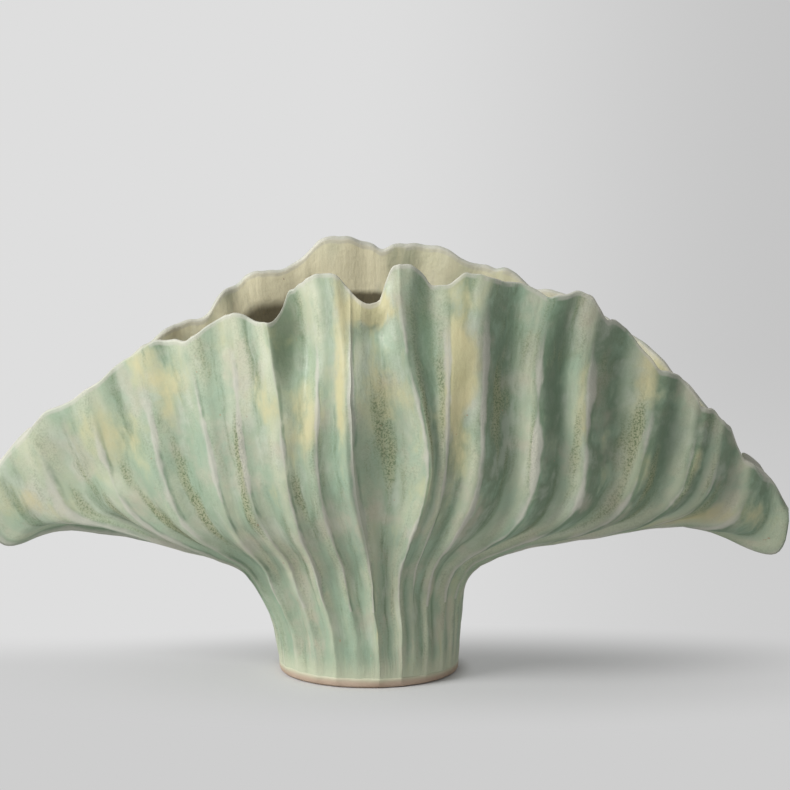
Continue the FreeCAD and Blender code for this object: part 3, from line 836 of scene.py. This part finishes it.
def mark_coats(nodes, on, look, body):
    """Thick pools, which also paint shade into the hollows, cream patches and olive grains at their marks, frayed by
    the runs of the glaze.
    """
    # Painted shade: the pool marks darken the hollows as thick glaze and as the shade in them together.
    body = nodes.coat(body, look.deep_glaze_and_shade, nodes.ramp(nodes.plus(on.pool, on.streaky), 0.1, 1.1), 0.75)
    patchy = nodes.plus(on.cream, nodes.times(nodes.minus(on.flow["Mottle"], 0.55), 2.2))
    patchy = nodes.minus(patchy, on.streaky)
    patchy = nodes.plus(patchy, nodes.times(nodes.minus(on.flow["Broad"], 0.5), 1.5))
    body = nodes.coat(body, look.cream, nodes.ramp(patchy, 0.1, 1.0), 0.75)
    fewer_inside = nodes.minus(3.0, nodes.times(on.inner_wall, 2.4))
    grainy = nodes.ramp(nodes.plus(on.grains, nodes.times(on.streaky, fewer_inside)), 0.1, 1.3)
    body = nodes.coat(body, look.deep_glaze_and_shade, grainy, 0.45)
    grains = nodes.times(grainy, on.fired["Grains"])
    body = nodes.coat(body, look.speckle, grains, 0.7)
    body = nodes.coat(body, look.cream, grainy, nodes.minus(1.0, on.fired["Grains"]), 0.3)
    return body, grains


def edge_coats(nodes, on, look, body):
    """Painted shade as a dark line on the lee side beside the crests, thin glaze over them, over the lip and on the
    worn edge of the rim.
    """
    below_rim = nodes.ramp(on.depth, *LINES_FADE)
    # Painted shade: the dark line beside each crest stands in for the shade on its lee side.
    body = nodes.coat(body, look.deep_glaze_and_shade, nodes.ramp(on.crest, 0.78, 0.88), nodes.ramp(on.flow["Mottle"], 0.4, 0.6),
                      nodes.ramp(on.lee, -0.1, 0.2), below_rim, 0.6)
    body = nodes.coat(body, look.thin, on.thickness["Thin"], nodes.times(below_rim, 0.65))
    body = nodes.coat(body, look.thin, nodes.ramp(on.inside, 0.02, 0.3), nodes.ramp(on.inside, 1.0, 0.8), 0.55)
    return nodes.coat(body, look.thin, nodes.ramp(on.depth, *WORN_EDGE), nodes.ramp(on.flow["Mottle"], 0.66, 0.5),
                      nodes.ramp(on.z, *FAN_FROM), 0.5)


def bare_coats(nodes, on, look, body):
    """Bare brown clay deep inside, darkened further as painted shadow cast by the front wall into the mouth, thin
    glaze near the foot, and specks of iron.
    """
    height = nodes.plus(on.z, nodes.times(on.flow["Mottle"], 0.006))
    height = nodes.plus(height, nodes.times(nodes.ramp(on.x, -0.02, -0.06), BARE_AND_SHADOW_LOWER_LEFT))
    # Painted shadow: the brown of bare clay and the dark of the shadow inside the mouth in one coat, below a height
    # and far below the rim.
    body = nodes.coat(body, look.bare_clay_and_shadow, nodes.ramp(on.depth, *NO_BARE_OR_SHADOW_ABOVE),
                      nodes.ramp(height, *GLAZE_END_AND_SHADOW_INSIDE), nodes.ramp(on.inside, 0.9, 1.0),
                      nodes.ramp(on.from_middle, *BARE_AND_SHADOW_REACH), 0.95)
    body = nodes.coat(body, look.body_pale, nodes.ramp(on.z, *THIN_AT_FOOT), 0.8)
    return nodes.coat(body, look.iron, on.fired["Specks"], 0.6)


def new_material(name):
    material = bpy.data.materials.new(name)
    material.use_nodes = True
    return material, Nodes(material.node_tree)


def celadon_glaze():
    """Satin celadon: pale and pinkish on the crests, deeper green in the grooves, cream where it crawled."""
    if "celadon_glaze" in bpy.data.materials:
        return bpy.data.materials["celadon_glaze"]
    look = bpy.context.scene.vase_glaze
    material, nodes = new_material("celadon_glaze")
    on = surface_values(nodes)
    body = inside_coats(nodes, on, look, base_coats(nodes, on, look))
    body, grains = mark_coats(nodes, on, look, body)
    body = bare_coats(nodes, on, look, edge_coats(nodes, on, look, body))
    relief = nodes.plus(nodes.times(on.fired["Skin"], 0.5), nodes.times(on.flow["Streaks"], 0.8))
    relief = nodes.plus(relief, nodes.times(grains, 0.25))
    bump = nodes.add("ShaderNodeBump", {"Strength": 0.45, "Distance": 0.0014, "Height": relief}).outputs[0]
    roughness = nodes.plus(nodes.times(on.fired["Skin"], 0.25), 0.42)
    shader = nodes.add("ShaderNodeBsdfPrincipled", {"Base Color": body, "Normal": bump, "Roughness": roughness,
                                                    "Coat Weight": 0.12, "Coat Roughness": 0.35})
    nodes.add("ShaderNodeOutputMaterial", {0: shader.outputs[0]})
    return material


def foot_clay():
    """Unglazed fired stoneware of the foot, with glaze above its edge."""
    if "foot_clay" in bpy.data.materials:
        return bpy.data.materials["foot_clay"]
    look = bpy.context.scene.vase_glaze
    material, nodes = new_material("foot_clay")
    place = nodes.add("ShaderNodeTexCoord").outputs["Object"]
    grain = nodes.group(fired_grain_group(), {"Place": place, "Skin Scale": 420.0, "Speck Scale": 1400.0})
    clay = nodes.mixed(grain["Blotches"], colour(look.clay), colour(look.clay_dark))
    clay = nodes.coat(clay, look.clay_dark, grain["Specks"])
    height = nodes.add("ShaderNodeSeparateXYZ", {0: place}).outputs["Z"]
    glazed = nodes.ramp(nodes.plus(height, nodes.times(grain["Blotches"], 0.0022)), *CLAY_EDGE)
    bump = nodes.add("ShaderNodeBump", {"Strength": 0.5, "Distance": 0.0006, "Height": grain["Skin"]}).outputs[0]
    shader = nodes.add("ShaderNodeBsdfPrincipled", {
        "Base Color": nodes.coat(clay, look.body_pale, glazed), "Normal": bump,
        "Roughness": nodes.minus(0.85, nodes.times(glazed, 0.4))})
    nodes.add("ShaderNodeOutputMaterial", {0: shader.outputs[0]})
    return material


# ---------------------------------------------------------------- what a user may change
def number_property(name, description, default, subtype="NONE", unit="NONE"):
    return bpy.props.FloatProperty(name=name, description=description, default=default, subtype=subtype, unit=unit)


def count_property(name, description, default):
    return bpy.props.IntProperty(name=name, description=description, default=default, min=2)


def colour_property(name, description, red, green, blue):
    return bpy.props.FloatVectorProperty(name=name, description=description, subtype="COLOR_GAMMA", size=3,
                                         default=(red / 255, green / 255, blue / 255), min=0.0, max=1.0)


class VASE_shape(bpy.types.PropertyGroup):
    crest_softness: number_property("Crest softness", "Roundness of the crests as a share of the flute's depth", 0.12,
                                    "FACTOR")
    inner_softness: number_property("Inner softness", "Roundness of the folds inside the mouth", 0.7, "FACTOR")
    flute_lean: number_property("Flute lean", "Below 1 the flutes are deepest nearer their left crest", 0.6, "FACTOR")
    right_lean: number_property("Right flute lean", "The same on the right half, above 1 nearer their right crest",
                                1.7, "FACTOR")
    crease: number_property("Crease", "2 is a round flute, less folds its lowest line to a crease", 1.7, "FACTOR")
    notch_fullness: number_property("Notch fullness", "Below 1 the notch has a flatter bottom", 0.55, "FACTOR")
    wobble: number_property("Hand wobble", "How uneven the hand left the clay, 1 is as photographed", 1.0,
                            "FACTOR")
    lip_height: number_property("Lip height", "Height of the rounded rim above its edges, in millimetres", 1.9)
    flute_steps: count_property("Steps across a flute", "Sections from one crest to the next", 20)
    fan_rows: count_property("Rows up the outside", "Rows of faces up the outside of the fan", 60)
    inner_rows: count_property("Rows up the inside", "Rows of faces up the inside of the fan", 36)
    stem_rows: count_property("Rows up the stem", "Rows of faces up the stem", 16)


class VASE_glaze(bpy.types.PropertyGroup):
    body: colour_property("Celadon", "Main colour of the glaze", 170, 186, 160)
    body_pale: colour_property("Pale celadon", "Lighter areas of the glaze", 202, 206, 178)
    rosy: colour_property("Rosy grey", "Warm grey where the glaze is thin over the clay", 200, 190, 172)
    cold: colour_property("Cold green", "Bluish green of the runs", 162, 187, 163)
    pooled: colour_property("Pooled", "Glaze that gathered in the grooves", 152, 174, 148)
    # Thickest glaze, also used as painted shade on the right half, beside the crests and in the pool marks.
    deep_glaze_and_shade: colour_property("Deep", "Thickest glaze", 100, 124, 98)
    snow: colour_property("Snow", "Bluish white where the glaze turned milky", 204, 210, 194)
    cream: colour_property("Cream", "Yellowish cream where the glaze crawled", 214, 203, 154)
    thin: colour_property("Thin", "Glaze over the crests, where the clay shows through", 208, 205, 193)
    speckle: colour_property("Speckle", "Olive grains in the runs", 104, 118, 72)
    # Cream of the glaze, made lighter as painted light falling into the mouth.
    inner: colour_property("Inside", "Cream glaze inside the mouth", 252, 244, 208)
    # Partly the bare clay's brown, partly painted shadow deep inside the mouth.
    bare_clay_and_shadow: colour_property("Unglazed inside", "Brown clay deep inside, where the glaze ends", 94, 86, 63)
    iron: colour_property("Iron", "Rusty specks", 176, 136, 108)
    clay: colour_property("Clay", "Bare fired clay", 204, 185, 166)
    clay_dark: colour_property("Dark clay", "Darker grains of the clay", 172, 146, 124)


class VASE_studio(bpy.types.PropertyGroup):
    key_power: number_property("Key light", "Power of the soft light at upper left, in watts", 76.0)
    fill_power: number_property("Fill light", "Power of the weak light at the right, in watts", 2.0)
    sky: number_property("Room light", "Strength of the even light of the room", 0.24)
    camera_distance: number_property("Camera distance", "From the camera to the vase", 1.9, "DISTANCE", "LENGTH")
    camera_rise: number_property("Camera rise", "Angle of the camera above the horizon", math.radians(10.5),
                                 "ANGLE", "ROTATION")
    floor_grey: colour_property("Floor", "Grey of the paper floor", 206, 206, 206)
    # The backdrop's greys are painted light falloff, lit at the left and shaded at the right.
    backdrop_lit_left: colour_property("Backdrop left", "Grey of the backdrop at the left", 222, 222, 222)
    backdrop_shaded_right: colour_property("Backdrop right", "Grey of the backdrop at the right", 197, 197, 197)


# ---------------------------------------------------------------- the pieces
class VASE_OT_floor_slab(bpy.types.Operator):
    """Fluted floor slab with a bare, worn edge where it stands"""
    bl_idname = "vase.floor_slab"
    bl_label = "Floor slab"

    def execute(self, context):
        shape = context.scene.vase_shape
        bm, layers = new_clay_mesh()
        outline, smooth_edge = [], []
        for index, share in flute_places(range(RIBS), shape.flute_steps):
            foot = outer_poles(index, share, (0,), shape)[0]
            outline.append(clay_at(index, share, foot)._replace(point=foot))
            oval = math.hypot(foot.x / (STEM[0][1] / 2 - SOLE_INSET), foot.y / (STEM[0][2] / 2 - SOLE_INSET))
            smooth_edge.append(foot / oval)
        first = verts = bmesh.ops.create_circle(bm, cap_ends=False, segments=len(outline), radius=MM)["verts"]
        for number, (scale, height) in enumerate(SLAB_ROWS):
            if number:
                verts = extrude_section(bm, verts)
            placed = []
            for clay, edge in zip(outline, smooth_edge):
                point = clay.point.lerp(edge, SOLE_ROUND * (1 - height / FLOOR_THICKNESS))
                placed.append(clay._replace(point=Vector((point.x * scale, point.y * scale, height))))
            place_section(verts, placed, layers, shape.wobble)
        for loop in (first, verts):
            bmesh.ops.contextual_create(bm, geom=edges_round(loop))
        bmesh.ops.recalc_face_normals(bm, faces=bm.faces)
        finish_piece(bm, "foot_floor_slab", "floor_slab", foot_clay())
        return {"FINISHED"}


class VASE_OT_stem(bpy.types.Operator):
    """Round fluted stem between the foot and the fan"""
    bl_idname = "vase.stem"
    bl_label = "Stem"

    def execute(self, context):
        shape = context.scene.vase_shape
        rows, levels = shape.stem_rows, range(NECK + 1)
        sections = []
        for index, share in flute_places(range(RIBS), shape.flute_steps):
            outer = outer_poles(index, share, levels, shape)
            inner = inner_poles(index, share, levels, shape)
            clay = clay_at(index, share, streak_place(index, share, shape))
            section = [clay._replace(point=curve_point(outer, step, rows)) for step in range(rows + 1)]
            for step in range(rows // 2, -1, -1):
                point = curve_point(inner, step, rows // 2)
                section.append(clay._replace(point=point, inside=1.0, depth=HIDDEN))
            sections.append(section)
        bm = sweep(sections, shape, (0, rows, rows + 1, len(sections[0]) - 1), True)
        finish_piece(bm, "stem", "stem_collar", celadon_glaze())
        return {"FINISHED"}


class VASE_OT_slabs(bpy.types.Operator):
    """Pleated front and back slabs of the fan"""
    bl_idname = "vase.slabs"
    bl_label = "Fan slabs"

    def execute(self, context):
        fan_piece("fan_front_left", "front_left_slab", 1, MIDDLE_FRONT)
        fan_piece("fan_front_right", "front_right_slab", MIDDLE_FRONT, TIP_RIGHT - 1)
        fan_piece("fan_back_right", "back_right_slab", TIP_RIGHT + 1, MIDDLE_BACK)
        fan_piece("fan_back_left", "back_left_slab", MIDDLE_BACK, RIBS - 1)
        return {"FINISHED"}


class VASE_OT_keels(bpy.types.Operator):
    """Keel strips that close the fan under its wings and at the tips"""
    bl_idname = "vase.keels"
    bl_label = "Wing keels"

    def execute(self, context):
        fan_piece("wing_right", "right_keel", TIP_RIGHT - 1, TIP_RIGHT + 1)
        fan_piece("wing_left", "left_keel", RIBS - 1, 1)
        return {"FINISHED"}


class VASE_OT_studio(bpy.types.Operator):
    """Pale paper floor, soft lights and the camera"""
    bl_idname = "vase.studio"
    bl_label = "Studio"

    def execute(self, context):
        scene = context.scene
        studio = scene.vase_studio
        bm = bmesh.new()
        bmesh.ops.create_circle(bm, cap_ends=True, segments=96, radius=PAPER_RADIUS)
        new_object(bm, "paper_floor", studio_paper(studio))
        self.lamp(scene, "key", KEY_PLACE, studio.key_power)
        self.lamp(scene, "fill", FILL_PLACE, studio.fill_power)
        self.room(scene, studio)
        self.camera(scene, studio)
        scene.view_settings.view_transform = "Standard"
        return {"FINISHED"}

    def lamp(self, scene, name, place, power):
        data = bpy.data.lights.new(name, "AREA")
        data.shape = "DISK"
        data.size = LAMP_SIZE
        data.energy = power
        lamp = bpy.data.objects.new(name, data)
        lamp.location = place
        lamp.rotation_mode = "QUATERNION"
        lamp.rotation_quaternion = (Vector(LAMP_AIM) - lamp.location).to_track_quat("-Z", "Y")
        scene.collection.objects.link(lamp)

    def room(self, scene, studio):
        world = bpy.data.worlds.new("studio_room")
        world.use_nodes = True
        nodes = Nodes(world.node_tree)
        room = nodes.add("ShaderNodeBackground", {"Color": (1.0, 1.0, 1.0, 1.0), "Strength": studio.sky})
        shown = nodes.add("ShaderNodeBackground", {"Color": colour(studio.backdrop_lit_left), "Strength": 1.0})
        nodes.either(seen_directly(nodes), room, shown, "ShaderNodeOutputWorld")
        scene.world = world

    def camera(self, scene, studio):
        data = bpy.data.cameras.new("camera")
        data.sensor_width = SENSOR_WIDTH
        data.lens = SENSOR_WIDTH * FOCAL_LENGTH / PICTURE_WIDTH
        data.shift_y = PICTURE_SHIFT / PICTURE_WIDTH
        data.clip_end = 100.0
        rise = studio.camera_rise
        camera = bpy.data.objects.new("camera", data)
        camera.location = Vector(AIM) + Vector((0.0, -math.cos(rise), math.sin(rise))) * studio.camera_distance
        camera.rotation_mode = "XYZ"
        camera.rotation_euler = (math.pi / 2 - rise, 0.0, 0.0)
        scene.collection.objects.link(camera)
        scene.camera = camera


def seen_directly(nodes):
    """1 for what the camera sees straight or in the glaze, 0 for light that falls on the vase."""
    rays = nodes.add("ShaderNodeLightPath").outputs
    return nodes.maths("MAXIMUM", rays["Is Camera Ray"], rays["Is Glossy Ray"])


def studio_paper(studio):
    """Pale paper that keeps the vase's shadow near it and turns into the painted backdrop further away, lighter at the
    left and darker at the right as painted light falloff.
    """
    material, nodes = new_material("studio_paper")
    place = nodes.add("ShaderNodeTexCoord").outputs["Object"]
    parts = nodes.add("ShaderNodeSeparateXYZ", {0: place}).outputs
    from_shadow = nodes.vector("MULTIPLY", nodes.vector("SUBTRACT", place, SHADOW_CENTRE), SHADOW_SHAPE)
    across_view = nodes.maths("DIVIDE", parts["X"], nodes.plus(parts["Y"], BACKDROP_REACH))
    grey = colour(studio.floor_grey)
    # Painted light: the backdrop's shades from left to right stand in for the light falling off across it.
    right = nodes.mixed(nodes.ramp(parts["Y"], *FAR_TURN), colour(studio.backdrop_shaded_right), grey)
    backdrop = nodes.mixed(nodes.ramp(across_view, *SIDE_TURN), colour(studio.backdrop_lit_left), right)
    backdrop = nodes.mixed(nodes.ramp(parts["Y"], *NEAR_TURN), backdrop, grey)
    paper = nodes.add("ShaderNodeBsdfPrincipled", {"Base Color": grey, "Roughness": 0.9})
    painted_paper_light = nodes.add("ShaderNodeEmission", {"Color": backdrop, "Strength": 1.0})
    painted = nodes.plus(nodes.times(nodes.ramp(nodes.length(from_shadow), *SHADOW_REACH), 0.64), 0.36)
    painted = nodes.times(painted, nodes.ramp(nodes.length(place), *UNDER_FOOT), seen_directly(nodes))
    nodes.either(painted, paper, painted_paper_light, "ShaderNodeOutputMaterial")
    return material


class VASE_PT_panel(bpy.types.Panel):
    """Pieces of the fan vase"""
    bl_idname = "VASE_PT_panel"
    bl_label = "Fan vase"
    bl_space_type = "VIEW_3D"
    bl_region_type = "UI"
    bl_category = "Fan vase"

    def draw(self, context):
        for operator in OPERATORS:
            self.layout.operator(operator.bl_idname)
        for group in ("vase_shape", "vase_glaze", "vase_studio"):
            settings = getattr(context.scene, group)
            column = self.layout.column()
            for name in settings.bl_rna.properties.keys():
                if name not in ("rna_type", "name"):
                    column.prop(settings, name)


GROUPS = (("vase_shape", VASE_shape), ("vase_glaze", VASE_glaze), ("vase_studio", VASE_studio))
OPERATORS = (VASE_OT_floor_slab, VASE_OT_stem, VASE_OT_slabs, VASE_OT_keels, VASE_OT_studio)


def register():
    for name, group in GROUPS:
        bpy.utils.register_class(group)
        setattr(bpy.types.Scene, name, bpy.props.PointerProperty(type=group))
    for operator in OPERATORS:
        bpy.utils.register_class(operator)
    bpy.utils.register_class(VASE_PT_panel)


def unregister():
    bpy.utils.unregister_class(VASE_PT_panel)
    for operator in reversed(OPERATORS):
        bpy.utils.unregister_class(operator)
    for name, group in reversed(GROUPS):
        delattr(bpy.types.Scene, name)
        bpy.utils.unregister_class(group)


def main():
    register()
    bpy.ops.vase.floor_slab()
    bpy.ops.vase.stem()
    bpy.ops.vase.slabs()
    bpy.ops.vase.keels()
    bpy.ops.vase.studio()


if __name__ == "__main__":
    main()
